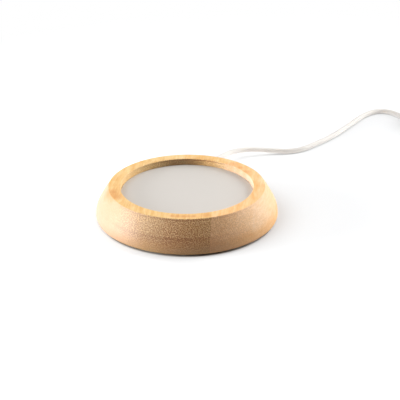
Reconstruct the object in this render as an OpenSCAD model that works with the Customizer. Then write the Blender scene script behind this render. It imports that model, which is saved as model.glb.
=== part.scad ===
// Electric mug warmer: a turned bamboo ring with a coated steel heating plate sunk below its rim.
// A printed heater, an insulation pad and a bimetal thermostat lie under the plate. A clamp plate
// on four welded studs draws them all against the ring's ledge. A cord with a USB plug feeds it.
// Millimetres, +Z up. The origin is on the table under the ring's axis. The cord leaves along +Y.

/* [Bamboo ring] */
// Outside diameter at the widest height
body_d = 110; // [104:1:130]
// Diameter of the opening that the mug stands in
opening_d = 80; // [76:1:84]
// Width of the flat rim
rim_w = 7; // [4:0.1:7.5]
// Depth from the rim down to the heating plate
recess_depth = 4; // [3:0.5:9]
// Height of the end of the upright belly over the ring's underside
belly_h = 2; // [2:0.1:5]
// Height of the soft crease between belly and bevel over the ring's underside
crease_h = 9.8; // [9:0.1:14]
// How far the crease lies inside the widest point
crease_in = 2.3; // [1:0.1:4]
// How far the bevel between crease and rim bulges
bevel_bulge = 0.2; // [0.05:0.05:0.6]
// Rounding of the ring's lower edge
hem_round = 1.8; // [0.5:0.1:1.9]
// Rounding of the rim's two edges
rim_round = 0.4; // [0.1:0.1:1]
// Width of the ledge that carries the heating plate
ledge_w = 5; // [4:0.1:7]
// How far the wall of the wiring bay lies inside the opening's wall
bay_inset = 1.5; // [1:0.1:2.5]

/* [Heating plate] */
// Thickness of the heating plate
plate_t = 1.2; // [0.8:0.1:2]
// Gap between the heating plate and the opening's wall
plate_gap = 0.2; // [0.1:0.05:0.4]
// Rounding of the heating plate's top edge
plate_round = 0.3; // [0.1:0.1:0.6]
// How far the stud circle lies inside the opening's wall
stud_inset = 15; // [14:0.5:17]
// Diameter of the welded studs
stud_d = 2.9; // [2.4:0.1:3.4]
// Thickness of one film of the heater
film_t = 0.15; // [0.1:0.05:0.3]
// Thickness of the heater's track
track_t = 0.2; // [0.1:0.05:0.4]
// Width of the heater's track
track_w = 2; // [1.4:0.1:2.2]
// Distance from one turn of the track to the next
track_pitch = 3; // [2.6:0.1:3]
// Thickness of the insulation pad, the ledge and the thermostat, which are level
pad_t = 3.6; // [3.6:0.1:5]
// Thickness of the clamp plate
clamp_t = 0.8; // [0.6:0.1:1.5]

/* [Fasteners] */
// Width across flats of the clamp nuts
nut_af = 5.5; // [5:0.1:6.5]
// Height of the clamp nuts
nut_h = 2.4; // [1.6:0.1:2.8]
// Thickness of the spring washers
washer_t = 0.6; // [0.4:0.1:0.8]
// Diameter of the base screws
base_screw_d = 2.4; // [2:0.1:3]
// Length of the base screws
base_screw_l = 9; // [6:0.5:10]
// Diameter of the base screws' heads
base_head_d = 4.8; // [4:0.1:6]
// Diameter of the cord clamp's screws
saddle_screw_d = 1.8; // [1.4:0.1:2.2]

/* [Base] */
// Gap between the table and the ring's underside
foot_gap = 1; // [0.6:0.1:3]
// Thickness of the base cover
cover_t = 2; // [1.8:0.1:3]
// How far the edge of the base cover lies inside the ring's widest point
cover_inset = 9; // [7:0.5:10]
// Gap around the base cover
cover_gap = 0.2; // [0.1:0.05:0.4]
// Diameter of the rubber feet
foot_d = 9; // [6:0.5:11]
// Depth of the feet's seats in the base cover
foot_seat = 0.6; // [0.3:0.1:1]

/* [Cord] */
// Diameter of the cord
cord_d = 3.5; // [3:0.1:4.5]
// Wall of the strain relief around the cord
relief_wall = 1.2; // [1:0.1:1.6]
// Length of the strain relief's tail outside the ring
tail_l = 14; // [10:1:20]
// Length of the cord clamp along the cord
saddle_l = 5; // [4:0.5:7]
// Thickness of the cord clamp over the cord
saddle_t = 1; // [0.8:0.1:1.2]
// Radius of the supply conductors
conductor_r = 0.6; // [0.4:0.05:0.7]
// Radius of the heater's and the thermostat's leads
lead_r = 0.5; // [0.35:0.05:0.6]
// Wall of the splice sleeves
sleeve_wall = 0.55; // [0.4:0.05:0.7]
// Length of the splice sleeves
sleeve_l = 12; // [8:1:14]

/* [Thermostat] */
// Length of the thermostat's case
thermo_l = 18; // [17:0.5:22]
// Width of the thermostat's case
thermo_w = 8; // [7.6:0.1:10]
// Sheet thickness of the thermostat's case
thermo_t = 0.4; // [0.3:0.05:0.5]
// Thickness of the bimetal blade
blade_t = 0.25; // [0.15:0.05:0.35]
// Height of one contact rivet
contact_h = 0.4; // [0.3:0.05:0.45]

/* [USB plug] */
// Length of the plug's moulded body
plug_l = 20; // [16:1:28]
// Width of the plug's moulded body
plug_w = 16; // [14.5:0.5:18]
// Height of the plug's moulded body
plug_h = 8; // [7:0.5:10]
// Length of the plug's neck
neck_l = 9; // [7:1:14]

/* [Hidden] */
$fn = 96;

// Clearances
cut = 0.5;            // how far a cutter runs past the face that it cuts
fit = 0.05;           // a bore around the pin, screw or tube in it
seat_gap = 0.02;      // a grip around the cord or a bead in its seat
slack = 0.3;          // loose pieces beside each other
edge_gap = 1;         // from the rim of the heater and of the clamp plate to the wall around them
gasket_gap = 0.5;     // from the gasket to the opening's wall

// Radii from the opening's wall inwards and outwards
body_r = body_d / 2;
opening_r = opening_d / 2;
rim_r = opening_r + rim_w;
ledge_r = opening_r - ledge_w;
bay_r = opening_r - bay_inset;
plate_r = opening_r - plate_gap;
film_r = ledge_r - edge_gap;
pad_r = ledge_r - slack;
clamp_r = bay_r - edge_gap;
cover_r = body_r - cover_inset;
stud_r = stud_d / 2;
stud_hole_r = stud_r + slack;
stud_circle = opening_r - stud_inset;

// Cord, its relief and the flange that stops the relief inside the ring
cord_r = cord_d / 2;
cord_bore_r = cord_r + seat_gap;
relief_r = cord_r + relief_wall;
flange_lip = 0.35;    // how far the flange stands out over and under the relief
flange_h = 2 * (relief_r + flange_lip);
flange_w = 10;
flange_t = 2;
flange_gap = 0.15;    // over and under the flange
seat_depth = 0.8;     // of the flange's seat in the wall of the wiring bay
saddle_clear = 3.3;   // cord that shows between the flange and the clamp
jacket_over = 3;      // jacket that stands out of the clamp
tail_wall = 0.75;     // around the cord at the tail's tip
relief_seat_y = bay_r + seat_depth;
saddle_y = relief_seat_y - flange_t - saddle_clear - saddle_l / 2;
jacket_end_y = saddle_y - saddle_l / 2 - jacket_over;
tail_r = cord_r + tail_wall;

// Heights from the table up
ring_z = foot_gap;
cover_top = ring_z + cover_t;
bay_h = flange_h + 2 * flange_gap;
cord_z = cover_top + bay_h / 2;
clamp_z = cover_top + bay_h;
ledge_z = clamp_z + clamp_t;
film_z = ledge_z + pad_t;
track_z = film_z + film_t;
film_upper_z = track_z + track_t;
plate_z = film_upper_z + film_t;
plate_top = plate_z + plate_t;
rim_z = plate_top + recess_depth;

// Outside of the ring: an upright belly, an arc to the crease and a slightly bulged bevel
belly_arc_r = (pow(crease_in, 2) + pow(crease_h - belly_h, 2)) / (2 * crease_in);
function ring_r(h) = h <= belly_h ? body_r
    : body_r - belly_arc_r + sqrt(pow(belly_arc_r, 2) - pow(h - belly_h, 2));
cord_exit_y = ring_r(cord_z - ring_z);
relief_end_y = cord_exit_y + tail_l;
cord_join_y = cord_exit_y - 5;        // where the cord inside the ring meets the free one

// An arc of n steps from a to b that stands out by s on the right-hand side of the way
function bulged(a, b, s, n) =
    let (half = (b - a) / 2, l = norm(half), r = (l * l + s * s) / (2 * s),
         out = [half.y, -half.x] / l, centre = a + half - out * (r - s), sweep = asin(l / r))
    [for (i = [0 : n]) let (t = sweep * (2 * i / n - 1))
        centre + r * (out * cos(t) + half / l * sin(t))];

// A corner at p between a and b, rounded with radius r in n steps
function rounded(a, p, b, r, n) =
    let (u = (a - p) / norm(a - p), v = (b - p) / norm(b - p),
         half = acos(u * v) / 2, reach = r / tan(half),
         start = p + u * reach, end = p + v * reach,
         centre = p + (u + v) / norm(u + v) * r / sin(half),
         turn = 180 - 2 * half, side = (start - centre) / r,
         way = (end - centre - side * (side * (end - centre))))
    [for (i = [0 : n]) centre + r * (side * cos(turn * i / n) + way / norm(way) * sin(turn * i / n))];

// Turns its children so that their +Z lies along +Y
module along_y() rotate([-90, 0, 0]) children();

// The way that a line goes at its place i
function ahead(line, i) =
    let (way = line[min(i + 1, len(line) - 1)] - line[max(i - 1, 0)]) way / norm(way);

// The part of v that is square to a way, as a unit vector
function square_to(v, way) = let (w = v - way * (v * way)) w / norm(w);

// One tube of radius r and eight sides through the line's places
module tube(line, r) {
    n = len(line);
    sides = 8;
    first = ahead(line, 0);
    side = [for (i = 0, s = square_to(abs(first.z) > 0.9 ? [1, 0, 0] : cross(first, [0, 0, 1]), first);
        i < n; i = i + 1, s = square_to(s, ahead(line, min(i, n - 1)))) s];
    rings = [for (i = [0 : n - 1]) let (up = cross(side[i], ahead(line, i)))
        for (k = [0 : sides - 1]) let (a = 360 * (k + 0.5) / sides)
            line[i] + r * (cos(a) * side[i] + sin(a) * up)];
    walls = [for (i = [0 : n - 2], k = [0 : sides - 1])
        let (a = i * sides + k, b = i * sides + (k + 1) % sides) [a, b, b + sides, a + sides]];
    polyhedron(rings, concat([[for (k = [0 : sides - 1]) sides - 1 - k]], walls,
        [[for (k = [0 : sides - 1]) (n - 1) * sides + k]]));
}

// A wire along straight legs, with its corners bent round
wire_bend = 1.4;
module wire(path, r) {
    last = len(path) - 1;
    tube(concat([path[0]],
        [for (i = [1 : last - 1]) each rounded(path[i - 1], path[i], path[i + 1], wire_bend, 4)],
        [path[last]]), r);
}

// ---------------------------------------------------------------- bamboo ring

module bamboo_ring() color([0.91, 0.75, 0.51]) {
    hem = [body_r, ring_z];
    belly = [for (i = [0 : 10]) let (h = belly_h + (crease_h - belly_h) * i / 10)
        [ring_r(h), ring_z + h]];
    rim_out = [rim_r, rim_z];
    rim_in = [opening_r, rim_z];
    bevel = bulged(belly[10], rim_out, bevel_bulge, 8);
    difference() {
        rotate_extrude($fn = 180) polygon(concat(
            [[cover_r + cover_gap, ring_z]],
            rounded([cover_r, ring_z], hem, belly[0], hem_round, 6),
            belly,
            [for (i = [1 : 7]) bevel[i]],
            rounded(bevel[7], rim_out, rim_in, rim_round, 4),
            rounded(rim_out, rim_in, [opening_r, film_z], rim_round, 4),
            [[opening_r, film_z], [ledge_r, film_z], [ledge_r, ledge_z], [bay_r, ledge_z],
             [bay_r, cover_top], [cover_r + cover_gap, cover_top]]
        ));
        // the cord's hole and the flat seat of the strain relief's flange
        translate([0, 0, cord_z]) along_y() cylinder(h = body_d, r = relief_r + fit);
        translate([-flange_w / 2 - slack / 2, 0, cover_top - cut])
            cube([flange_w + slack, relief_seat_y, clamp_z - cover_top + cut]);
        at_base_screws() translate([0, 0, cover_top - cut])
            cylinder(h = base_screw_l - cover_t + 2 * cut, r = base_screw_d / 2 + fit);
    }
}

// ---------------------------------------------------------------- heating plate and heater

module at_studs() for (i = [0 : 3]) rotate([0, 0, 45 + 90 * i]) translate([stud_circle, 0, 0])
    children();

module heating_plate() color([0.80, 0.78, 0.75]) rotate_extrude($fn = 180)
    polygon(concat([[0, plate_z], [plate_r, plate_z]],
        rounded([plate_r, plate_z], [plate_r, plate_top], [0, plate_top], plate_round, 4),
        [[0, plate_top]]));

stud_tip = 0.5;       // how far a stud stands out of its nut
stud_z = clamp_z - washer_t - nut_h - stud_tip;

module plate_studs() color("silver") at_studs() translate([0, 0, stud_z])
    cylinder(h = plate_z - stud_z, r = stud_r);

module plate_gasket() color([0.75, 0.25, 0.18]) translate([0, 0, film_z]) difference() {
    cylinder(h = plate_z - film_z, r = opening_r - gasket_gap);
    translate([0, 0, -cut]) cylinder(h = plate_z - film_z + 2 * cut, r = ledge_r + slack);
}

// Turns of the track: two outside the studs and five inside them, outermost first
track_edge = 0.8;     // bare film beside the track
outer_turns = 2;
inner_turns = 5;
turns = concat(
    [for (i = [0 : outer_turns - 1]) film_r - track_edge - track_w / 2 - i * track_pitch],
    [for (i = [0 : inner_turns - 1])
        stud_circle - stud_hole_r - track_edge - track_w / 2 - i * track_pitch]);
link_in = 0.2;        // how far a link's end stays inside the turn that it joins
split_w = 1.6;        // gap between the track's two halves
terminal_in = 1.8;    // from the gap to the middle of each solder terminal
terminal_x = split_w / 2 + terminal_in;
terminal_y = -sqrt(pow(turns[0], 2) - pow(terminal_x, 2));

module at_terminals() for (side = [-1, 1]) translate([side * terminal_x, terminal_y, 0]) children();

module film(z) translate([0, 0, z]) difference() {
    cylinder(h = film_t, r = film_r);
    at_studs() translate([0, 0, -cut]) cylinder(h = film_t + 2 * cut, r = stud_hole_r);
}

module heater_film_upper() color([0.80, 0.45, 0.10]) film(film_upper_z);

module heater_film_lower() color([0.80, 0.45, 0.10]) difference() {
    film(film_z);
    at_terminals() translate([0, 0, film_z - cut]) cylinder(h = film_t + 2 * cut, r = lead_r + 0.2);
}

// Each turn is cut along the split; links join neighbours by turns at its far and near end.
// The innermost turn stays whole at the far end, where the track passes to its other half.
module heater_track() color([0.62, 0.60, 0.58]) translate([0, 0, track_z])
    linear_extrude(height = track_t) {
        last = len(turns) - 1;
        for (i = [0 : last]) difference() {
            circle(r = turns[i] + track_w / 2);
            circle(r = turns[i] - track_w / 2);
            translate([-split_w / 2, -film_r]) square([split_w, i == last ? film_r : 2 * film_r]);
        }
        for (i = [0 : last - 1], side = [-1, 1])
            translate([side * (split_w + track_w) / 2, (i % 2 == 0 ? 1 : -1) * (turns[i] + turns[i + 1]) / 2])
                square([track_w, turns[i] - turns[i + 1] + track_w - 2 * link_in], center = true);
    }

// The pad has a window for the thermostat with a bay for its leads beside it
window_x = thermo_l / 2 + slack / 2;
lead_drop = 4;        // from the case's open end to where the leads turn down
lead_x = thermo_l / 2 + lead_drop;
module insulation_pad() color([0.88, 0.87, 0.82]) translate([0, 0, ledge_z]) difference() {
    cylinder(h = pad_t, r = pad_r);
    translate([0, 0, -cut]) {
        at_studs() cylinder(h = pad_t + 2 * cut, r = stud_hole_r);
        at_terminals() cylinder(h = pad_t + 2 * cut, r = lead_r + slack);
        translate([-window_x, -thermo_w / 2 - slack / 2, 0])
            cube([window_x + lead_x + lead_r + 2 * slack, thermo_w + slack, pad_t + 2 * cut]);
    }
}

module clamp_plate() color([0.66, 0.67, 0.68]) translate([0, 0, clamp_z]) difference() {
    cylinder(h = clamp_t, r = clamp_r);
    translate([0, 0, -cut]) {
        at_studs() cylinder(h = clamp_t + 2 * cut, r = stud_hole_r);
        at_terminals() cylinder(h = clamp_t + 2 * cut, r = lead_r + 2 * slack);
        translate([lead_x - lead_r - slack, -lead_y - lead_r - slack, 0])
            cube([2 * (lead_r + slack), 2 * (lead_y + lead_r + slack), clamp_t + 2 * cut]);
    }
}

washer_split = 0.6;
module spring_washers() color([0.55, 0.55, 0.56]) at_studs() translate([0, 0, clamp_z - washer_t])
    difference() {
        cylinder(h = washer_t, r = nut_af / 2);
        translate([0, 0, -cut]) cylinder(h = washer_t + 2 * cut, r = stud_r + 2 * fit);
        translate([0, -washer_split / 2, -cut]) cube([nut_af, washer_split, washer_t + 2 * cut]);
    }

module clamp_nuts() color("silver") at_studs() translate([0, 0, clamp_z - washer_t - nut_h])
    difference() {
        cylinder(h = nut_h, r = nut_af / 2 / cos(30), $fn = 6);
        translate([0, 0, -cut]) cylinder(h = nut_h + 2 * cut, r = stud_r + fit);
    }

// ---------------------------------------------------------------- thermostat

// It lies along X under the heater. Its blade turns on a bead at the root and lifts a contact off
// the fixed one when it is hot. Heights from the case's floor up:
tray_t = 0.3;
terminal_t = 0.35;
tray_z = ledge_z + thermo_t + fit;
strip_z = tray_z + tray_t;
rivet_z = strip_z + terminal_t;
moving_z = rivet_z + contact_h + seat_gap;
blade_z = moving_z + contact_h;
bead_z = blade_z + blade_t / 2;
bead_r = 0.4;
seat_r = bead_r + seat_gap;
bead_in = 4;          // from the case's open end to the bead
bead_x = thermo_l / 2 - bead_in;
seat_lip = 0.1;       // how far the arm terminal's seat block reaches past the bead's middle
seat_l = 1.6;         // the seat block's size along X
seat_h = 1.5;
seat_x = bead_x - seat_lip;
header_x = seat_x + seat_l + 2 * fit;
header_w = thermo_w - 2 * (thermo_t + fit);
header_top = film_z - thermo_t - fit;
contact_in = 4;       // from the case's closed end to the contacts
contact_x = contact_in - thermo_l / 2;
contact_r = 1.2;
blade_over = 1.5;     // how far the blade and the strip run past the contacts
blade_w = 4;
strip_w = 4.8;
tab_w = 2;
tab_over = 2;         // how far the tabs stand out of the case
tab_lap = 1;          // how far a tab runs under its strip
tab_in = 0.4;         // from a tab's slot to the header's side
tab_end = thermo_l / 2 + tab_over;
lead_y = header_w / 2 - tab_w / 2 - tab_in;

module thermostat_case() color([0.72, 0.72, 0.70]) difference() {
    translate([-thermo_l / 2, -thermo_w / 2, ledge_z]) cube([thermo_l, thermo_w, pad_t]);
    translate([-thermo_l / 2 + thermo_t, thermo_t - thermo_w / 2, ledge_z + thermo_t])
        cube([thermo_l, thermo_w - 2 * thermo_t, pad_t - 2 * thermo_t]);
}

// A moulded tray with an upright block at the case's open end, slotted for both tabs
module thermostat_header() color([0.30, 0.16, 0.10]) difference() {
    union() {
        translate([-thermo_l / 2 + thermo_t + fit, -header_w / 2, tray_z])
            cube([thermo_l - thermo_t - fit, header_w, tray_t]);
        translate([header_x, -header_w / 2, tray_z])
            cube([thermo_l / 2 - header_x, header_w, header_top - tray_z]);
    }
    translate([header_x - cut, lead_y - tab_w / 2 - fit, strip_z])
        cube([thermo_l / 2, tab_w + 2 * fit, terminal_t + fit]);
    translate([header_x - cut, -lead_y - tab_w / 2 - fit, bead_z - terminal_t / 2 - fit])
        cube([thermo_l / 2, tab_w + 2 * fit, terminal_t + 2 * fit]);
}

module fixed_terminal() color([0.80, 0.65, 0.30]) {
    translate([contact_x - blade_over, -strip_w / 2, strip_z])
        cube([seat_x - contact_x + blade_over, strip_w, terminal_t]);
    translate([seat_x - tab_lap, lead_y - tab_w / 2, strip_z])
        cube([tab_end - seat_x + tab_lap, tab_w, terminal_t]);
}

module fixed_contact() color([0.90, 0.90, 0.88]) translate([contact_x, 0, rivet_z])
    cylinder(h = contact_h, r = contact_r);

// The seat block holds the blade's bead in a half-round groove; its tab leaves through the header
module arm_terminal() color([0.80, 0.65, 0.30]) {
    difference() {
        translate([seat_x, -strip_w / 2, bead_z - seat_h / 2]) cube([seat_l, strip_w, seat_h]);
        translate([bead_x, -strip_w, bead_z]) along_y() cylinder(h = 2 * strip_w, r = seat_r);
    }
    translate([seat_x + seat_l / 2, -lead_y - tab_w / 2, bead_z - terminal_t / 2])
        cube([tab_end - seat_x - seat_l / 2, tab_w, terminal_t]);
}

module bimetal_blade() color([0.62, 0.60, 0.52]) {
    translate([contact_x - blade_over, -blade_w / 2, blade_z])
        cube([bead_x - contact_x + blade_over, blade_w, blade_t]);
    translate([bead_x, -blade_w / 2, bead_z]) along_y() cylinder(h = blade_w, r = bead_r);
}

module moving_contact() color([0.90, 0.90, 0.88]) translate([contact_x, 0, moving_z])
    cylinder(h = contact_h, r = contact_r);

// ---------------------------------------------------------------- wiring

sleeve_play = 0.15;   // between a sleeve and the thickest wire in it
sleeve_bore_r = max(conductor_r, lead_r) + sleeve_play;
sleeve_r = sleeve_bore_r + sleeve_wall;
wire_z = cover_top + sleeve_r + fit;
bend = 2;             // straight wire between a sleeve and its nearest bend
splice_y = lead_y + lead_r + bend + sleeve_l / 2;
splice_a = [lead_x, splice_y, wire_z];
splice_b = [lead_x, -splice_y, wire_z];
splice_c = [-thermo_l / 2, 0, wire_z];
joint_gap = 0.2;      // between two wire ends in one sleeve
conductor_gap = 0.2;  // between the two conductors in the cord

module thermostat_leads() color([0.85, 0.82, 0.70]) {
    strip_mid = strip_z + terminal_t / 2;
    wire([[tab_end, lead_y, strip_mid], [lead_x, lead_y, strip_mid], [lead_x, lead_y, wire_z],
          splice_a - [0, joint_gap / 2, 0]], lead_r);
    wire([[tab_end, -lead_y, bead_z], [lead_x, -lead_y, bead_z], [lead_x, -lead_y, wire_z],
          splice_b + [0, joint_gap / 2, 0]], lead_r);
}

module heater_leads() color([0.85, 0.82, 0.70]) {
    wire([[terminal_x, terminal_y, track_z], [terminal_x, terminal_y, wire_z],
          splice_b - [0, sleeve_l / 2 + bend, 0], splice_b - [0, joint_gap / 2, 0]], lead_r);
    wire([[-terminal_x, terminal_y, track_z], [-terminal_x, terminal_y, wire_z],
          splice_c - [0, sleeve_l / 2 + bend, 0], splice_c - [0, joint_gap / 2, 0]], lead_r);
}

module splice_sleeves() color([0.10, 0.10, 0.11])
    for (at = [splice_a, splice_b, splice_c]) translate(at - [0, sleeve_l / 2, 0]) along_y()
        difference() {
            cylinder(h = sleeve_l, r = sleeve_r);
            translate([0, 0, -cut]) cylinder(h = sleeve_l + 2 * cut, r = sleeve_bore_r);
        }

// A conductor from the jacket's end to its splice
module conductor(side, splice) {
    x = side * (conductor_r + conductor_gap / 2);
    wire([[x, jacket_end_y, cord_z], [x, jacket_end_y - bend, cord_z],
          splice + [0, sleeve_l / 2 + bend, 0], splice + [0, joint_gap / 2, 0]], conductor_r);
}

module conductor_red() color([0.75, 0.10, 0.08]) conductor(1, splice_a);

module conductor_black() color([0.08, 0.08, 0.09]) conductor(-1, splice_c);

module cord_jacket_end() color([0.94, 0.93, 0.92]) translate([0, jacket_end_y, cord_z]) along_y()
    cylinder(h = cord_join_y - jacket_end_y, r = cord_r);

// ---------------------------------------------------------------- cord clamp and strain relief

saddle_split = 0.15;  // half the gap between the cradle and the saddle
saddle_shoulder = 1.25;
saddle_edge = 0.4;    // around the screws' heads
saddle_head_r = saddle_screw_d;
saddle_head_h = 1.1;
saddle_screw_x = cord_r + saddle_t + saddle_head_r + 2 * saddle_edge;
saddle_w = 2 * (saddle_screw_x + saddle_head_r + saddle_edge);
saddle_top = cord_z + saddle_split + saddle_shoulder;

module at_saddle_screws(z) for (side = [-1, 1]) translate([side * saddle_screw_x, saddle_y, z])
    children();

module saddle_groove() translate([0, saddle_y - saddle_l, cord_z]) along_y()
    cylinder(h = 2 * saddle_l, r = cord_bore_r);

module cord_saddle() color([0.16, 0.16, 0.17]) difference() {
    union() {
        translate([-saddle_w / 2, saddle_y - saddle_l / 2, cord_z + saddle_split])
            cube([saddle_w, saddle_l, saddle_shoulder]);
        intersection() {
            translate([0, saddle_y - saddle_l / 2, cord_z]) along_y()
                cylinder(h = saddle_l, r = cord_r + saddle_t);
            translate([-saddle_w / 2, saddle_y - saddle_l / 2, cord_z + saddle_split])
                cube([saddle_w, saddle_l, bay_h]);
        }
    }
    saddle_groove();
    at_saddle_screws(cord_z) cylinder(h = bay_h, r = saddle_screw_d / 2 + 2 * fit);
}

saddle_screw_z = cover_top + 1;       // the screws' tips
cross_w = 0.5;                        // arm of a cross recess
module saddle_screws() color("silver") at_saddle_screws(saddle_screw_z) difference() {
    union() {
        cylinder(h = saddle_top - saddle_screw_z, r = saddle_screw_d / 2);
        translate([0, 0, saddle_top - saddle_screw_z]) cylinder(h = saddle_head_h, r = saddle_head_r);
    }
    translate([0, 0, saddle_top - saddle_screw_z + saddle_head_h])
        cross_recess(saddle_head_r * 0.6, saddle_head_h / 2);
}

// A cross recess around the origin, reach across each arm from the middle
module cross_recess(reach, depth) for (turn = [0, 90]) rotate([0, 0, turn])
    cube([2 * reach, cross_w, 2 * depth], center = true);

// Outline of a ribbed tail from radius r0 to r1 over length l, as [radius, height] points
rib_gap = 1.1;
rib_depth = 0.4;
tail_ribs = 5;
function ribbed(r0, r1, l, ribs, z0) =
    [for (i = [0 : ribs - 1]) let (pitch = l / ribs, low = i * pitch + (i == 0 ? 0 : rib_gap),
        high = (i + 1) * pitch) each concat(
            [[r0 + (r1 - r0) * low / l, z0 + low], [r0 + (r1 - r0) * high / l, z0 + high]],
            i == ribs - 1 ? [] :
            [[r0 + (r1 - r0) * high / l - rib_depth, z0 + high],
             [r0 + (r1 - r0) * high / l - rib_depth, z0 + high + rib_gap]])];

module strain_relief() color([0.93, 0.92, 0.91]) translate([0, relief_seat_y, cord_z]) along_y()
    difference() {
        union() {
            body_l = cord_exit_y - relief_seat_y;
            rotate_extrude() polygon(concat([[0, 0], [relief_r, 0]],
                ribbed(relief_r, tail_r, tail_l, tail_ribs, body_l), [[0, body_l + tail_l]]));
            translate([-flange_w / 2, -flange_h / 2, -flange_t]) cube([flange_w, flange_h, flange_t]);
        }
        translate([0, 0, -flange_t - cut])
            cylinder(h = relief_end_y, r = cord_bore_r);
    }

// ---------------------------------------------------------------- base cover, screws and feet

base_screw_circle = (bay_r + cover_r) / 2;
base_head_h = 1.3;
head_sink = 0.15;     // how far the heads lie inside the cover's underside
cross_depth = 0.8;
foot_in = 2.5;        // from the edge of the cover to the feet
foot_round = 0.4;
foot_circle = cover_r - foot_d / 2 - foot_in;

module at_base_screws() for (i = [0 : 3]) rotate([0, 0, 45 + 90 * i])
    translate([base_screw_circle, 0, 0]) children();

module at_foot(i) rotate([0, 0, 90 * i]) translate([foot_circle, 0, 0]) children();

// A countersunk screw's solid, grown by gap to make its hole
module countersunk(gap) {
    cylinder(h = base_head_h, r1 = base_head_d / 2 + gap, r2 = base_screw_d / 2 + gap);
    translate([0, 0, base_head_h]) cylinder(h = base_screw_l - base_head_h, r = base_screw_d / 2 + gap);
}

module base_cover() color([0.13, 0.13, 0.14]) difference() {
    union() {
        translate([0, 0, ring_z]) cylinder(h = cover_t, r = cover_r, $fn = 180);
        translate([-saddle_w / 2, saddle_y - saddle_l / 2, cover_top - cut])
            cube([saddle_w, saddle_l, cord_z - saddle_split - cover_top + cut]);
    }
    saddle_groove();
    at_saddle_screws(saddle_screw_z - slack) cylinder(h = bay_h, r = saddle_screw_d / 2 + fit);
    at_base_screws() {
        translate([0, 0, ring_z - cut]) cylinder(h = cut + head_sink, r = base_head_d / 2 + fit);
        translate([0, 0, ring_z + head_sink]) countersunk(fit);
    }
    for (i = [0 : 3]) at_foot(i) translate([0, 0, ring_z - cut])
        cylinder(h = foot_seat + cut, r = foot_d / 2 + fit);
}

module base_screws() color("silver") at_base_screws() translate([0, 0, ring_z + head_sink])
    difference() {
        countersunk(0);
        cross_recess(base_head_d / 3, cross_depth);
    }

module rubber_foot(i) color([0.20, 0.20, 0.21]) at_foot(i) rotate_extrude()
    polygon(concat([[0, 0]],
        rounded([0, 0], [foot_d / 2, 0], [foot_d / 2, ring_z], foot_round, 4),
        [[foot_d / 2, ring_z + foot_seat], [0, ring_z + foot_seat]]));

module rubber_foot_1() rubber_foot(0);
module rubber_foot_2() rubber_foot(1);
module rubber_foot_3() rubber_foot(2);
module rubber_foot_4() rubber_foot(3);

// ---------------------------------------------------------------- cord

// The route on the table: x, y and the height of the cord's centre over where it lies on the table
route = [
    [0.6, 76, 4.65], [2.7, 81.5, 4.5], [6.9, 90.5, 4], [13.7, 98.3, 3.2], [21.1, 103.2, 2.2],
    [28.8, 106.7, 1.2], [36.9, 109.3, 0.4], [44.7, 112.7, 0], [51.9, 119.2, 0], [58.6, 130.3, 0],
    [65.4, 143, 0], [71.8, 158.3, 0], [78.3, 177.8, 0], [85.1, 197, 0], [93.5, 208.5, 0],
    [103, 209.5, 0], [112.8, 201.8, 0], [121.5, 194.5, 0.2], [129.5, 188.5, 0.35]
];

// The coil: four layers, wound by turns inwards and outwards
coil_at = [144, 207];
coil_mid_r = 20.7;
coil_band = 6.2;      // radial way of the cord's centre within one layer
coil_step = 3.6;      // from one layer to the next
coil_layers = 4;
tie_t = 0.3;
tie_w = 3;
tie_gap = 0.1;
tie_turn = 20;        // where around the coil the tie is
coil_z = tie_t + fit;
coil_in_r = coil_mid_r - coil_band / 2 - cord_r;
coil_out_r = coil_mid_r + coil_band / 2 + cord_r;
coil_top = coil_z + cord_d + coil_step * (coil_layers - 1);

// The last stretch, from the top of the coil down to the plug's neck
tail_route = [
    [122.4, 197, 11.2], [125.6, 190.4, 11], [129.8, 182, 9.6], [134.5, 173.3, 7.1],
    [139.4, 164.6, 4.8], [144.3, 156, 3], [148.4, 148.7, 2.35]
];
plug_at = [152, 142.2, plug_h / 2];
plug_turn = -61;

function lying(points) = [for (p = points) [p.x, p.y, cord_r + p.z]];

// A smooth line through points: steps places on each stretch between two of them
function spline(points, steps) =
    let (last = len(points) - 1)
    [for (i = [0 : last - 1], s = [0 : steps - 1])
        let (t = s / steps, a = points[max(i - 1, 0)], b = points[i], c = points[i + 1],
             d = points[min(i + 2, last)])
        b + t * (c - a) / 2 + t * t * (a - 2.5 * b + 2 * c - d / 2)
          + t * t * t * (3 * b - a - 3 * c + d) / 2,
     points[last]];

// The cord leaves the relief straight, and so do the route's first stretches
straight = [for (y = [cord_join_y, cord_exit_y, relief_end_y, relief_end_y + 3]) [0, y, cord_z]];

module usb_cord() color([0.94, 0.93, 0.92]) tube(spline(concat(straight, lying(route)), 3), cord_r);

module cord_coil() color([0.94, 0.93, 0.92]) translate([coil_at.x, coil_at.y, 0]) rotate_extrude() {
    corners = [[coil_in_r, coil_z], [coil_out_r, coil_z], [coil_out_r, coil_top], [coil_in_r, coil_top]];
    polygon([for (i = [0 : 3])
        each rounded(corners[(i + 3) % 4], corners[i], corners[(i + 1) % 4], cord_r, 3)]);
}

module cord_tie() color([0.96, 0.96, 0.96])
    translate([coil_at.x, coil_at.y, 0]) rotate([0, 0, tie_turn]) translate([coil_mid_r, tie_w / 2, 0])
        rotate([90, 0, 0]) linear_extrude(height = tie_w) {
            half = (coil_out_r - coil_in_r) / 2 + tie_gap;
            top = coil_top + tie_gap;
            difference() {
                translate([-half - tie_t, 0]) square([2 * (half + tie_t), top + tie_t]);
                translate([-half, tie_t]) square([2 * half, top - tie_t]);
            }
        }

module cord_tail() color([0.94, 0.93, 0.92])
    tube(spline(concat(lying(tail_route), [plug_at]), 3), cord_r);

// ---------------------------------------------------------------- USB plug

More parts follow.
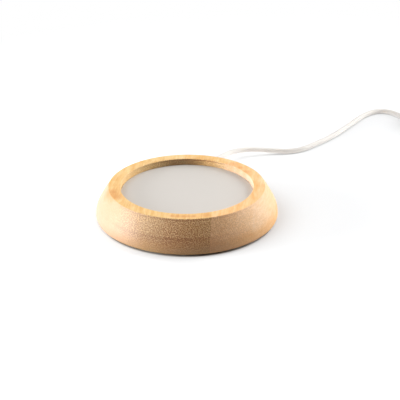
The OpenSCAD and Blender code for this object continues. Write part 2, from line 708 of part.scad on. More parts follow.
neck_r = 3.1;
neck_tip_r = cord_r + 0.6;
neck_ribs = 4;
plug_corner = 2.5;
shell_l = 12;
shell_w = 12;
shell_h = 4.5;
shell_t = 0.3;
tongue_l = 9.5;
tongue_t = 1.84;
window_w = 2.2;       // the shell's four windows
window_y = 2.9;
window_at = 6.2;
pin_w = 1;            // the contacts
pin_t = 0.2;
pin_y = [1, 3.5];
pin_in = [1.8, 0.8];  // how far they end inside the tongue's tip
grip_depth = 0.35;    // the grooves in the moulding's sides
grip_w = 1.1;
grip_pitch = 2.4;
grip_at = 4;
grips = 4;

// The plug's own frame: its origin is the end of the neck, and +X points out of its mouth
module at_plug() translate(plug_at) rotate([0, 0, plug_turn]) children();

module plug_neck() color([0.93, 0.92, 0.91]) at_plug() rotate([0, 90, 0]) rotate_extrude()
    polygon(concat([[0, 0]], ribbed(neck_tip_r, neck_r, neck_l, neck_ribs, 0), [[0, neck_l]]));

module plug_body() color([0.93, 0.92, 0.91]) at_plug() translate([neck_l, 0, 0]) difference() {
    translate([0, 0, -plug_h / 2]) linear_extrude(height = plug_h) {
        translate([plug_corner, -plug_w / 2]) square([plug_l - 2 * plug_corner, plug_w]);
        translate([0, plug_corner - plug_w / 2]) square([plug_l, plug_w - 2 * plug_corner]);
        for (x = [plug_corner, plug_l - plug_corner], y = [-1, 1])
            translate([x, y * (plug_w / 2 - plug_corner)]) circle(r = plug_corner);
    }
    for (i = [0 : grips - 1], side = [-1, 1]) translate([grip_at + grip_pitch * i, side * plug_w / 2, 0])
        cube([grip_w, 2 * grip_depth, plug_h + 2 * cut], center = true);
}

module plug_shell() color([0.78, 0.78, 0.79]) at_plug() translate([neck_l + plug_l, 0, 0]) difference() {
    translate([0, -shell_w / 2, -shell_h / 2]) cube([shell_l, shell_w, shell_h]);
    translate([-cut, shell_t - shell_w / 2, shell_t - shell_h / 2])
        cube([shell_l + 2 * cut, shell_w - 2 * shell_t, shell_h - 2 * shell_t]);
    for (side = [-1, 1]) translate([window_at, side * window_y, 0])
        cube([window_w, window_w, shell_h + 2 * cut], center = true);
}

tongue_z = shell_h / 2 - shell_t - fit - tongue_t;
module plug_tongue() color([0.90, 0.90, 0.90]) at_plug()
    translate([neck_l + plug_l, fit + shell_t - shell_w / 2, tongue_z])
        cube([tongue_l, shell_w - 2 * (shell_t + fit), tongue_t]);

module plug_contacts() color([0.85, 0.70, 0.35]) at_plug() for (i = [0, 1], side = [-1, 1])
    translate([neck_l + plug_l, side * pin_y[i] - pin_w / 2, tongue_z - pin_t])
        cube([tongue_l - pin_in[i], pin_w, pin_t]);

bamboo_ring();
heating_plate();
plate_studs();
plate_gasket();
heater_film_upper();
heater_track();
heater_film_lower();
insulation_pad();
clamp_plate();
spring_washers();
clamp_nuts();
thermostat_case();
thermostat_header();
fixed_terminal();
fixed_contact();
arm_terminal();
bimetal_blade();
moving_contact();
thermostat_leads();
heater_leads();
splice_sleeves();
conductor_red();
conductor_black();
cord_jacket_end();
cord_saddle();
saddle_screws();
strain_relief();
base_cover();
base_screws();
rubber_foot_1();
rubber_foot_2();
rubber_foot_3();
rubber_foot_4();
usb_cord();
cord_coil();
cord_tie();
cord_tail();
plug_neck();
plug_body();
plug_shell();
plug_tongue();
plug_contacts();
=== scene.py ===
"""The looks of an electric mug warmer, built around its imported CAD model.

A bamboo ring holds a coated heating plate below its rim, and a white cord with a USB plug feeds it.
Sizes are written in millimetres, and MM turns them into Blender's metres.
"""
from math import ceil, cos, floor, pi, radians, sin, sqrt, tan

import bmesh
import bpy
from mathutils import Matrix, Vector


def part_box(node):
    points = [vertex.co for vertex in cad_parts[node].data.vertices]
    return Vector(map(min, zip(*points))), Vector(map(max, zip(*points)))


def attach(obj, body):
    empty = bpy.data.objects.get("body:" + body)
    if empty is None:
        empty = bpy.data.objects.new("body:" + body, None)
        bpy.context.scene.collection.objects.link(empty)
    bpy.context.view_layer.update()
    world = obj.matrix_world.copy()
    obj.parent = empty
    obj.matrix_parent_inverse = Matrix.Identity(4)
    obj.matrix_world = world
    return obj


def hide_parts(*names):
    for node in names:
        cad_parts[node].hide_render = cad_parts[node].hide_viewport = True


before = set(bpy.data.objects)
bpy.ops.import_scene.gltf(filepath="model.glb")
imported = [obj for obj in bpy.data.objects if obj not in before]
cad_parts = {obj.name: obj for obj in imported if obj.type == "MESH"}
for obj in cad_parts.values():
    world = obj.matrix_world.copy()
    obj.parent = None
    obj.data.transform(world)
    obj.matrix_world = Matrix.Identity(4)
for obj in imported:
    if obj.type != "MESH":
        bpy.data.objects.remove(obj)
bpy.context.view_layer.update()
MM = 0.001

# ---------------------------------------------------------------- camera
# A long lens that looks down on the ring from the front, a little from the right.

view_turn = radians(15)        # from straight ahead towards +X
view_height = radians(25.1)
view_roll = radians(-0.15)
view_distance = 600
lens_mm = 89.25
aim_right = 7.9                # the ring stands a little left of the frame's middle
aim_down = 0.74
ring_middle = Vector((0, 0, 10.5))

view_back = Vector((sin(view_turn) * cos(view_height), -cos(view_turn) * cos(view_height),
                    sin(view_height)))
view_right = Vector((cos(view_turn), sin(view_turn), 0))
view_up = view_back.cross(view_right)
camera = bpy.data.objects.new("camera", bpy.data.cameras.new("camera"))
camera.data.lens = lens_mm
camera.data.clip_start = 10 * MM
camera_at = ring_middle + view_distance * view_back + aim_right * view_right - aim_down * view_up
camera.matrix_world = (Matrix.Translation(camera_at * MM)
                       @ Matrix((view_right, view_up, view_back)).transposed().to_4x4()
                       @ Matrix.Rotation(view_roll, 4, "Z"))
bpy.context.scene.collection.objects.link(camera)
bpy.context.scene.camera = camera
bpy.context.scene.view_settings.view_transform = "Standard"

# ---------------------------------------------------------------- table and light
# A white table that fades into a white room. Two softboxes stand at the left, one low and one high,
# and a wide one stands behind to the right, so the ring's front stays in soft shade.


def linear(code):
    """An sRGB hex colour as linear red, green, blue and alpha."""
    parts = [int(code[i:i + 2], 16) / 255 for i in (1, 3, 5)]
    return (*[c / 12.92 if c <= 0.04045 else ((c + 0.055) / 1.055) ** 2.4 for c in parts], 1)


def add(tree, kind, inputs=None, **settings):
    """Adds a node with its settings. An input is a value, or another node's output to link."""
    node = tree.nodes.new("ShaderNode" + kind)
    for name, value in settings.items():
        setattr(node, name, value)
    for socket, value in (inputs or {}).items():
        if isinstance(value, bpy.types.NodeSocket):
            tree.links.new(value, node.inputs[socket])
        else:
            node.inputs[socket].default_value = value
    return node


def new_material(name):
    """An empty node material and its tree, with the output node."""
    material = bpy.data.materials.new(name)
    material.use_nodes = True
    material.node_tree.nodes.clear()
    return material, material.node_tree, add(material.node_tree, "OutputMaterial")


def seen_directly(tree):
    """1 where the camera, a reflection or a view through glass looks at the background."""
    path = add(tree, "LightPath")
    either = add(tree, "Math", {0: path.outputs["Is Camera Ray"], 1: path.outputs["Is Glossy Ray"]},
                 operation="MAXIMUM")
    return add(tree, "Math", {0: either.outputs[0], 1: path.outputs["Is Transmission Ray"]},
               operation="MAXIMUM").outputs[0]


# Matt white laminate: a little of its light is its own, so that it shows as white as the room. The
# occlusion takes that light away where a piece stands close over it.
table_size = 4000
table_centre = (70, 90, 0)
table_reach = (190, 420)       # where the table starts and ends to fade into the room
own_light = (0.48, 0.78)       # behind and to the right of the ring, and at its left
own_light_way = (-0.94, -0.34, 0)
own_light_turns = (0, 50)      # how far along that way it goes from one to the other
ring_fill, cord_fill = 0.06, 0.75   # what it gives the ring and the cord from below instead
fill_turns = (50, 70)          # how far behind the ring's axis it goes from one to the other
footprint = (52.9, 72)         # the ring's shade on the table starts and ends at these radii
footprint_at = (0.6, -1.2, 0)  # around this place, because most light comes from behind
footprint_fade = 0.13          # a low power, so most of the shade is close to the ring
contact = 1.6                  # how far a piece that touches the table darkens it
contact_light = 0.35           # and how much of the table's own light it leaves

paint, tree, output = new_material("white_laminate_table")
place = add(tree, "TexCoord").outputs["Object"]
near = add(tree, "VectorMath", {0: place, 1: Vector(table_centre) * MM}, operation="DISTANCE")
fade = add(tree, "MapRange", {"Value": near.outputs["Value"], "From Min": table_reach[0] * MM,
                              "From Max": table_reach[1] * MM}, interpolation_type="SMOOTHSTEP")
own = add(tree, "VectorMath", {0: place, 1: own_light_way}, operation="DOT_PRODUCT").outputs["Value"]
own = add(tree, "MapRange", {"Value": own, "From Min": own_light_turns[0] * MM,
                             "From Max": own_light_turns[1] * MM, "To Min": own_light[0],
                             "To Max": own_light[1]}, interpolation_type="SMOOTHSTEP")
behind = add(tree, "SeparateXYZ", {0: place}).outputs["Y"]
fill = add(tree, "MapRange", {"Value": behind, "From Min": fill_turns[0] * MM,
                              "From Max": fill_turns[1] * MM, "To Min": ring_fill,
                              "To Max": cord_fill})
glow = add(tree, "MapRange", {"Value": seen_directly(tree), "To Min": fill.outputs[0],
                              "To Max": own.outputs[0]}).outputs[0]
from_ring = add(tree, "VectorMath", {0: place, 1: Vector(footprint_at) * MM},
                operation="DISTANCE").outputs["Value"]
clear = add(tree, "MapRange", {"Value": from_ring, "From Min": footprint[0] * MM,
                               "From Max": footprint[1] * MM}).outputs[0]
clear = add(tree, "Math", {0: clear, 1: footprint_fade}, operation="POWER").outputs[0]
open_sky = add(tree, "AmbientOcclusion", {"Distance": contact * MM}, samples=8).outputs["AO"]
touching = add(tree, "MapRange", {"Value": open_sky, "To Min": contact_light}).outputs[0]
for shaded in (touching, clear):
    glow = add(tree, "Math", {0: glow, 1: shaded}, operation="MULTIPLY").outputs[0]
matt = add(tree, "BsdfDiffuse", {"Color": linear("#B5B6B7")})
lit = add(tree, "AddShader", {0: matt.outputs[0],
                              1: add(tree, "Emission", {"Strength": glow}).outputs[0]})
white = add(tree, "Emission", {"Strength": seen_directly(tree)})
tree.links.new(add(tree, "MixShader", {0: fade.outputs[0], 1: lit.outputs[0], 2: white.outputs[0]}
                   ).outputs[0], output.inputs["Surface"])
bpy.ops.mesh.primitive_plane_add(size=table_size * MM)
table = bpy.context.object
table.name = "table"
table.data.materials.append(paint)

room = bpy.data.worlds.new("white_room")
bpy.context.scene.world = room
room.use_nodes = True
tree = room.node_tree
tree.nodes.clear()
air = add(tree, "Background", {"Color": (1, 1, 1, 1), "Strength": seen_directly(tree)})
tree.links.new(air.outputs[0], add(tree, "OutputWorld").inputs["Surface"])

# name, degrees right of the camera's line of sight seen from the ring (90 is right, 180 is behind),
# height in degrees, angle that the softbox fills, and how much light it gives
for name, turn, height, fills, level in (
        ("left_softbox", -86, 5, 30, 2.05),
        ("left_top_softbox", -78, 45, 40, 0.59),
        ("right_softbox", 113, 30, 50, 1.3)):
    a = radians(turn)
    toward = Vector((sin(a), -cos(a), tan(radians(height)))).normalized()
    toward.rotate(Matrix.Rotation(view_turn, 3, "Z"))
    sun = bpy.data.objects.new(name, bpy.data.lights.new(name, "SUN"))
    sun.data.energy = level * pi
    sun.data.angle = radians(fills)
    sun.rotation_mode = "QUATERNION"
    sun.rotation_quaternion = toward.to_track_quat("Z", "Y")
    bpy.context.scene.collection.objects.link(sun)

# ---------------------------------------------------------------- bamboo ring
# Turned from a block of laminated bamboo strips, bored through, sanded and oiled. A rebate below
# takes the base cover, a ledge inside carries the heater, and a side hole lets the cord out.


def rounded(corners):
    """An outline through (x, y, radius) corners, each made an arc with a point every 12 degrees."""
    outline = []
    for i, (x, y, radius) in enumerate(corners):
        p = Vector((x, y))
        if radius == 0:
            outline.append(p)
            continue
        a = (Vector(corners[i - 1][:2]) - p).normalized()
        b = (Vector(corners[(i + 1) % len(corners)][:2]) - p).normalized()
        half = a.angle(b) / 2
        centre = p + (a + b).normalized() * radius / sin(half)
        start = p + a * radius / tan(half) - centre
        swing = start.angle_signed(p + b * radius / tan(half) - centre)
        steps = max(2, ceil(abs(swing) / radians(12)))
        for k in range(steps + 1):
            outline.append(centre + Matrix.Rotation(-swing * k / steps, 2) @ start)
    return outline


def new_piece(name, points, faces):
    """A mesh piece from points in millimetres."""
    mesh = bpy.data.meshes.new(name)
    mesh.from_pydata([Vector(p) * MM for p in points], [], faces)
    shell = bmesh.new()
    shell.from_mesh(mesh)
    bmesh.ops.recalc_face_normals(shell, faces=shell.faces)
    shell.to_mesh(mesh)
    shell.free()
    piece = bpy.data.objects.new(name, mesh)
    bpy.context.scene.collection.objects.link(piece)
    return piece


def turned(name, outline, sides=256):
    """A piece turned about Z from its closed outline of (radius, height)."""
    points, faces, rings = [], [], []
    for r, z in outline:
        count = 1 if r == 0 else sides
        rings.append([len(points) + k for k in range(count)])
        points += [(r * cos(2 * pi * k / sides), r * sin(2 * pi * k / sides), z)
                   for k in range(count)]
    for low, high in zip(rings, rings[1:] + rings[:1]):
        if len(low) == 1 and len(high) == 1:
            continue
        for k in range(sides):
            corners = [low[k % len(low)], low[(k + 1) % sides % len(low)],
                       high[(k + 1) % sides % len(high)], high[k % len(high)]]
            faces.append(list(dict.fromkeys(corners)))
    return new_piece(name, points, faces)


def smooth(piece):
    """Smooth shading, with edges of more than 38 degrees sharp. Flat faces keep their own light."""
    piece.data.shade_smooth()
    piece.data.set_sharp_from_angle(angle=radians(38))
    piece.modifiers.new("flat_faces_stay_flat", "WEIGHTED_NORMAL").keep_sharp = True


def cut_out(piece, cutter):
    """Takes the cutter's space out of the piece."""
    cut = piece.modifiers.new("cut", "BOOLEAN")
    cut.operation = "DIFFERENCE"
    cut.solver = "EXACT"
    cut.object = cutter
    bpy.context.view_layer.update()
    result = bpy.data.meshes.new_from_object(piece.evaluated_get(bpy.context.evaluated_depsgraph_get()))
    piece.modifiers.remove(cut)
    piece.data = result
    bpy.data.objects.remove(cutter)


def dress(piece, material, slot, *nodes):
    """Gives a new piece its material and body, and hides the CAD nodes that it stands for. The slot is not
    used.
    """
    piece.data.materials.clear()
    piece.data.materials.append(material)
    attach(piece, "warmer")
    if nodes:
        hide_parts(*nodes)


ring_low, ring_high = (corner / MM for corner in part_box("bamboo_ring"))
ring_z, rim_z, body_r = ring_low.z, ring_high.z, ring_high.x
opening_r = 40
rim_w = 7
ledge_r = 35
bay_r = 38.5
cover_r = 46
cover_gap = 0.2
cover_top = 3                  # height of the rebate that takes the cover
ledge_z, film_z = 10.7, 14.3   # underside and top of the ledge that carries the heater
belly_h = 2                    # the side is upright to this height over the ring's underside
crease_h = 9.8
crease_in = 2.3
bevel_bulge = 0.2
hem_round = 1.8
rim_round = 0.45
crease_soft = 0.6              # how far the sanding spreads the crease
outline_step = 0.3

belly_r = (crease_in ** 2 + (crease_h - belly_h) ** 2) / (2 * crease_in)


def belly(h):
    """Radius of the ring's belly at a height over its underside."""
    return body_r - belly_r + sqrt(belly_r ** 2 - max(h - belly_h, 0) ** 2)


crease = Vector((body_r - crease_in, ring_z + crease_h))
rim_out = Vector((opening_r + rim_w, rim_z))
bevel = rim_out - crease
outward = Vector((bevel.y, -bevel.x)).normalized()
belly_steps = round(crease_h / outline_step)
bevel_steps = round(bevel.length / outline_step)
side = [Vector((belly(crease_h * i / belly_steps), ring_z + crease_h * i / belly_steps))
        for i in range(belly_steps)]
side += [crease + bevel * i / bevel_steps
         + outward * bevel_bulge * (1 - (2 * i / bevel_steps - 1) ** 2)
         for i in range(bevel_steps + 1)]
reach = round(crease_soft / outline_step)
soft_side = [sum(side[i - reach:i + reach + 1], Vector((0, 0))) / (2 * reach + 1)
             if abs(i - belly_steps) < 3 * reach else p for i, p in enumerate(side)]
hem_points = ceil(hem_round / outline_step)
rim_points = ceil(2 * rim_round / outline_step)

# the underside's hem and the rim: their first and last corners only give the way that they run
hem = rounded([(cover_r, ring_z, 0), (body_r, ring_z, hem_round), (*soft_side[hem_points + 1], 0)])
rim = rounded([(*soft_side[-rim_points - 1], 0), (*rim_out, rim_round), (opening_r, rim_z, rim_round),
               (opening_r, film_z, 0), (ledge_r, film_z, 0.2), (ledge_r, ledge_z, 0),
               (bay_r, ledge_z, 0), (bay_r, cover_top, 0), (cover_r + cover_gap, cover_top, 0),
               (cover_r + cover_gap, ring_z, 0.3), (cover_r + 4, ring_z, 0)])
ring = turned("bamboo_ring_turned", hem[1:-1] + soft_side[hem_points + 1:-rim_points] + rim[1:-1], 360)

cord_r = 1.75
cord_z = 6.45                  # height of the cord's hole
relief_r = cord_r + 1.2
hole = turned("cord_hole", [(0, 0), (relief_r + 0.05, 0), (relief_r + 0.05, body_r), (0, body_r)], 64)
hole.matrix_world = Matrix.Translation((0, 0, cord_z * MM)) @ Matrix.Rotation(radians(-90), 4, "X")
cut_out(ring, hole)
smooth(ring)

# Oiled bamboo, sanded across the grain: wide straw-coloured plies side by side, full of darker fibre
# bundles. The bundles show as dots where the turning cuts across them, and as faint streaks along
# the rim and the sides.
grain_turn = radians(8)        # the plies run along Y, turned towards -X
plies = (                      # where each starts, its colour, and how coarse its bundles are
    (-60, "#EBC78D", 0.7), (-33, "#EBCB93", 0.85), (-7, "#EBC78D", 1.0), (19.3, "#F5CA97", 0.55),
    (42, "#F4CC9D", 0.5))
bore_coarse = 0.8              # and how coarse they are all along the bore
bundle_pitch = 0.68            # real ones are 0.5 to 1.3 apart
bundle_edge = (0.6, 0.25)      # parts of the pitch between which a bundle turns dark
dot_along, dot_across = 0.12, 1.4   # how dark the dots are along the grain and square to it
dot_belly, dot_bore = 0.34, 0.6     # how much of that shows there, where the bevel shows it all
streak_w = 1.6
streak_stretch = 8             # streaks are this many times longer than wide
cloud_size = 9                 # paler and browner patches
waver_size, waver = 28, 1.1    # over this length the grain wavers by so much to each side
shade_and_tone_bands = (                  # height over the table, and how dark the band is there: painted shade, at the crease partly the wood's own tone
    (6.5, 0), (9.2, 0.3), (10.2, 0.8), (11.3, 0), (18.6, 0), (19.3, 0.8), (19.8, 0))
bore_shade_way = (0.342, -0.94, 0)  # the part of the bore that faces this way, away from the lamps, gets painted shade
node_marks = (                 # where each is, its size, and how dark it is
    (-40.5, -21, 5, 0.6), (-35, -26.5, 4.5, 0.6), (-38.2, -21.2, 1.2, 0.6), (3.8, -43.4, 1.7, 0.7),
    (6.8, -42.6, 1.7, 0.7), (10.2, -42.2, 1.6, 0.7), (12.8, -41.3, 1.5, 0.7), (15.5, -40.5, 1.5, 0.7),
    (22.5, -36.7, 3, 0.5), (20.5, 38, 3.4, 0.5), (25.4, 33.2, 2.6, 0.5), (30.3, 28.3, 3.2, 0.5))

bamboo, tree, output = new_material("bamboo_oiled")
place = add(tree, "TexCoord").outputs
board = add(tree, "Mapping", {"Vector": place["Object"], "Rotation": (0, 0, -grain_turn),
                              "Scale": [1 / MM] * 3}).outputs[0]
axes = add(tree, "SeparateXYZ", {0: board}).outputs
board_half = -plies[0][0]
which = add(tree, "MapRange", {"Value": axes["X"], "From Min": -board_half, "From Max": board_half})
ply = add(tree, "ValToRGB", {"Fac": which.outputs[0]})
ply.color_ramp.interpolation = "CONSTANT"
for i, (start, code, coarse) in enumerate(plies):
    at = (start + board_half) / (2 * board_half)
    stop = ply.color_ramp.elements.new(at) if i else ply.color_ramp.elements[0]
    stop.position = at
    stop.color = (*linear(code)[:3], coarse)
ply.color_ramp.elements.remove(ply.color_ramp.elements[-1])

# the grain as it wavers: end_on looks along the bundles, and grain is squeezed along them
sway = add(tree, "TexNoise", {"Vector": board, "Scale": 1 / waver_size, "Detail": 1.0}).outputs[0]
sway = add(tree, "MapRange", {"Value": sway, "To Min": -waver, "To Max": waver}).outputs[0]
across = add(tree, "Math", {0: axes["X"], 1: sway}, operation="ADD").outputs[0]
along = add(tree, "Math", {0: axes["Y"], 1: streak_stretch}, operation="DIVIDE").outputs[0]
end_on = add(tree, "CombineXYZ", {0: across, 1: axes["Z"]}).outputs[0]
grain = add(tree, "CombineXYZ", {0: across, 1: along, 2: axes["Z"]}).outputs[0]

# 1 where the surface cuts straight across the bundles
facing = add(tree, "Mapping", {"Vector": place["Normal"], "Rotation": (0, 0, -grain_turn)})
way = add(tree, "SeparateXYZ", {0: facing.outputs[0]}).outputs
end_grain = add(tree, "Math", {0: way["Y"], 1: way["Y"]}, operation="MULTIPLY").outputs[0]

# 1 on the bore, which stays dry, so its cut bundles stand out
from_axis = add(tree, "VectorMath", {0: place["Object"], 1: (1, 1, 0)}, operation="MULTIPLY").outputs[0]
from_axis = add(tree, "VectorMath", {0: from_axis}, operation="LENGTH").outputs["Value"]
bore = add(tree, "MapRange", {"Value": from_axis, "From Min": (opening_r + 0.5) * MM,
                              "From Max": (opening_r + 0.2) * MM}).outputs[0]

cells = add(tree, "TexVoronoi", {"Vector": end_on, "Scale": 1 / bundle_pitch, "Randomness": 0.8},
            voronoi_dimensions="2D")
coarse = add(tree, "MixRGB", {0: bore, 1: ply.outputs["Alpha"], 2: (*[bore_coarse] * 3, 1)}).outputs[0]
bundle = add(tree, "MapRange", {"Value": cells.outputs["Distance"], "From Min": bundle_edge[0],
                                "From Max": bundle_edge[1], "To Max": coarse}).outputs[0]
streak = add(tree, "TexNoise", {"Vector": grain, "Scale": 1 / streak_w, "Detail": 4.0,
                                "Roughness": 0.65}).outputs[0]
cloud = add(tree, "TexNoise", {"Vector": board, "Scale": 1 / cloud_size, "Detail": 2.0}).outputs[0]

# streaks and clouds, stronger on the flat rim than on the sides
shade = add(tree, "Math", {0: cloud, 1: 0.5, 2: streak}, operation="MULTIPLY_ADD").outputs[0]
flat = add(tree, "MapRange", {"Value": way["Z"], "From Min": 0.6, "From Max": 0.9, "To Min": 0.55})
shade = add(tree, "MapRange", {"Value": shade, "From Min": 0.55, "From Max": 0.95,
                               "To Max": flat.outputs[0]}).outputs[0]
colour = add(tree, "MixRGB", {0: shade, 1: ply.outputs["Color"], 2: linear("#EDD7B2")},
             blend_type="MULTIPLY").outputs[0]

# the cut ends soak up oil and turn darker, except in the bore
soaked = add(tree, "Math", {0: end_grain, 1: bore}, operation="SUBTRACT", use_clamp=True).outputs[0]
colour = add(tree, "MixRGB", {0: soaked, 1: colour, 2: linear("#C0B7BD")},
             blend_type="MULTIPLY").outputs[0]

# dark dots where the bundles are cut, each with its own strength
dots = add(tree, "MapRange", {"Value": end_grain, "To Min": dot_along, "To Max": dot_across}).outputs[0]
shows = add(tree, "MapRange", {"Value": way["Z"], "From Max": 0.5, "To Min": dot_belly}).outputs[0]
inside = add(tree, "Math", {0: bore, 1: dot_bore}, operation="MULTIPLY").outputs[0]
shows = add(tree, "Math", {0: shows, 1: inside}, operation="MAXIMUM").outputs[0]
chance = add(tree, "SeparateXYZ", {0: cells.outputs["Color"]}).outputs["X"]
strong = add(tree, "MapRange", {"Value": chance, "To Min": 0.7}).outputs[0]
for part in (shows, bundle, strong):
    dots = add(tree, "Math", {0: dots, 1: part}, operation="MULTIPLY").outputs[0]
colour = add(tree, "MixRGB", {0: dots, 1: colour, 2: linear("#74421E")}).outputs[0]

# painted shade: a band along the crease and a thin line just under the rim, darkest on the end grain; at
# the crease it is partly the wood's own darker tone
high = add(tree, "MapRange", {"Value": axes["Z"], "From Max": rim_z})
band_shade = add(tree, "ValToRGB", {"Fac": high.outputs[0]})
band_shade.color_ramp.elements[1].color = (0, 0, 0, 1)
for z, dark in shade_and_tone_bands:
    band_shade.color_ramp.elements.new(z / rim_z).color = (dark, dark, dark, 1)
band_shade = band_shade.outputs["Color"]
for part in (ply.outputs["Alpha"], end_grain):
    band_shade = add(tree, "Math", {0: band_shade, 1: part}, operation="MULTIPLY").outputs[0]
colour = add(tree, "MixRGB", {0: band_shade, 1: colour, 2: linear("#B99070")}, blend_type="MULTIPLY").outputs[0]

# the belly is warmer than the bevel, and most so along the grain
low = add(tree, "MapRange", {"Value": way["Z"], "From Min": 0.5, "From Max": 0.25}).outputs[0]
low = add(tree, "Math", {0: low, 1: bore}, operation="SUBTRACT", use_clamp=True).outputs[0]
along_it = add(tree, "MapRange", {"Value": end_grain, "To Min": 1.0, "To Max": 0.4}).outputs[0]
low = add(tree, "Math", {0: low, 1: along_it}, operation="MULTIPLY").outputs[0]
colour = add(tree, "MixRGB", {0: low, 1: colour, 2: linear("#FFF2DC")}, blend_type="MULTIPLY").outputs[0]

# painted shade on the far side of the bore, which faces the camera and away from the lamps
bore_shade = add(tree, "VectorMath", {0: place["Normal"], 1: bore_shade_way}, operation="DOT_PRODUCT")
bore_shade = add(tree, "MapRange", {"Value": bore_shade.outputs["Value"], "From Min": 0.93, "From Max": 0.99})
bore_shade = add(tree, "Math", {0: bore_shade.outputs[0], 1: bore}, operation="MULTIPLY").outputs[0]
colour = add(tree, "MixRGB", {0: bore_shade, 1: colour, 2: linear("#D7D0CE")}, blend_type="MULTIPLY").outputs[0]

# painted highlight wash: faces turned towards the low left softbox are made duller and less yellow,
# standing in for the bleaching of its strong light, with a greyer tone in the bore
lamp_side_wash = add(tree, "MapRange", {"Value": way["X"], "From Min": -0.3, "From Max": -0.9, "To Max": 0.9})
wash_colour = add(tree, "MixRGB", {0: bore, 1: linear("#D2A790"), 2: linear("#D1B49C")}).outputs[0]
colour = add(tree, "MixRGB", {0: lamp_side_wash.outputs[0], 1: colour, 2: wash_colour}).outputs[0]

# brown marks on the rim, where the culm had its nodes
for x, y, size, dark in node_marks:
    centre = Matrix.Rotation(-grain_turn, 3, "Z") @ Vector((x, y, rim_z)) / size
    spot = add(tree, "Mapping", {"Vector": board, "Location": -centre, "Scale": [1 / size] * 3})
    ruffle = add(tree, "MixRGB", {0: 0.25, 1: spot.outputs[0], 2: cells.outputs["Color"]})
    far = add(tree, "VectorMath", {0: ruffle.outputs[0]}, operation="LENGTH")
    mark = add(tree, "MapRange", {"Value": far.outputs["Value"], "From Min": 1.0, "From Max": 0.2,
                                  "To Max": dark})
    colour = add(tree, "MixRGB", {0: mark.outputs[0], 1: colour, 2: linear("#C98443")}).outputs[0]

# satin where the oil lies, and open pores at the cut bundles
sheen = add(tree, "MapRange", {"Value": streak, "To Min": 0.46, "To Max": 0.62}).outputs[0]
pores = add(tree, "Math", {0: streak, 1: bundle}, operation="SUBTRACT").outputs[0]
relief = add(tree, "Bump", {"Height": pores, "Strength": 0.5, "Distance": 0.05 * MM}).outputs[0]
wood = add(tree, "BsdfPrincipled", {"Base Color": colour, "Roughness": sheen, "Normal": relief,
                                    "IOR": 1.5})
tree.links.new(wood.outputs[0], output.inputs["Surface"])
dress(ring, bamboo, "bamboo", "bamboo_ring")

# ---------------------------------------------------------------- heating plate
# A pressed steel disc, spot-welded to its studs, with a matt warm-grey heat-proof coat.


def plain_finish(name, light, dark, roughness, grain, depth, patch=6, **surface):
    """A solid colour that drifts between two tones, over a fine grain: both sizes in millimetres."""
    material, tree, output = new_material(name)
    place = add(tree, "Mapping", {"Vector": add(tree, "TexCoord").outputs["Object"],
                                  "Scale": [1 / MM] * 3}).outputs[0]
    drift = add(tree, "TexNoise", {"Vector": place, "Scale": 1 / patch, "Detail": 3.0}).outputs[0]
    fine = add(tree, "TexNoise", {"Vector": place, "Scale": 1 / grain, "Detail": 2.0}).outputs[0]
    colour = add(tree, "MixRGB", {0: drift, 1: linear(light), 2: linear(dark)}).outputs[0]
    gloss = add(tree, "MapRange", {"Value": fine, "To Min": roughness - 0.06,
                                   "To Max": roughness + 0.06}).outputs[0]
    bump = add(tree, "Bump", {"Height": fine, "Strength": 0.6, "Distance": depth * MM}).outputs[0]
    shader = add(tree, "BsdfPrincipled", {"Base Color": colour, "Roughness": gloss, "Normal": bump,
                                          **surface})
    tree.links.new(shader.outputs[0], output.inputs["Surface"])
    return material


plate_low, plate_high = (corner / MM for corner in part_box("heating_plate"))
plate_round = 0.3
plate = turned("heating_plate_disc", rounded([
    (0, plate_low.z, 0), (plate_high.x, plate_low.z, 0.1),
    (plate_high.x, plate_high.z, plate_round), (0, plate_high.z, 0)]))
smooth(plate)

# Baked silicone enamel with fine matting agent: an even, dull grey with a hint of sand in it
plate_coat = plain_finish("silicone_enamel_warm_grey", "#C6C1BB", "#C2BDB7", 0.55, 0.35, 0.012,
                          patch=25)
dress(plate, plate_coat, "plate_coat", "heating_plate")

# ---------------------------------------------------------------- parts inside the ring
# Everything under the plate: studs and nuts, heater, pad, thermostat and wiring. The CAD shapes
# stay, and each gets the finish of its real material and soft edges between its flat faces.


def edge_shading():
    """Geometry nodes that join a CAD mesh's loose faces and smooth it up to its real edges."""
    group = bpy.data.node_groups.new("smooth_to_real_edges", "GeometryNodeTree")
    group.interface.new_socket("Geometry", in_out="INPUT", socket_type="NodeSocketGeometry")
    group.interface.new_socket("Geometry", in_out="OUTPUT", socket_type="NodeSocketGeometry")
    start, end = group.nodes.new("NodeGroupInput"), group.nodes.new("NodeGroupOutput")
    weld = group.nodes.new("GeometryNodeMergeByDistance")
    weld.inputs["Distance"].default_value = 0.001 * MM
    angle = group.nodes.new("GeometryNodeInputMeshEdgeAngle")
    soft = group.nodes.new("FunctionNodeCompare")
    soft.operation = "LESS_THAN"
    soft.inputs[1].default_value = radians(32)
    edges, faces = (group.nodes.new("GeometryNodeSetShadeSmooth") for _ in range(2))
    edges.domain = "EDGE"
    link = group.links.new
    link(start.outputs[0], weld.inputs[0])
    link(weld.outputs[0], faces.inputs[0])
    link(faces.outputs[0], edges.inputs[0])
    link(angle.outputs[0], soft.inputs[0])
    link(soft.outputs[0], edges.inputs["Shade Smooth"])
    link(edges.outputs[0], end.inputs[0])
    return group


real_edges = edge_shading()


def finish_nodes(material, *names):
    """Gives CAD nodes their finish and smooths their round faces."""
    for name in names:
        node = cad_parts[name]
        node.data.materials.clear()
        node.data.materials.append(material)
        node.modifiers.new("smooth_to_real_edges", "NODES").node_group = real_edges
        node.modifiers.new("flat_faces_stay_flat", "WEIGHTED_NORMAL").keep_sharp = True


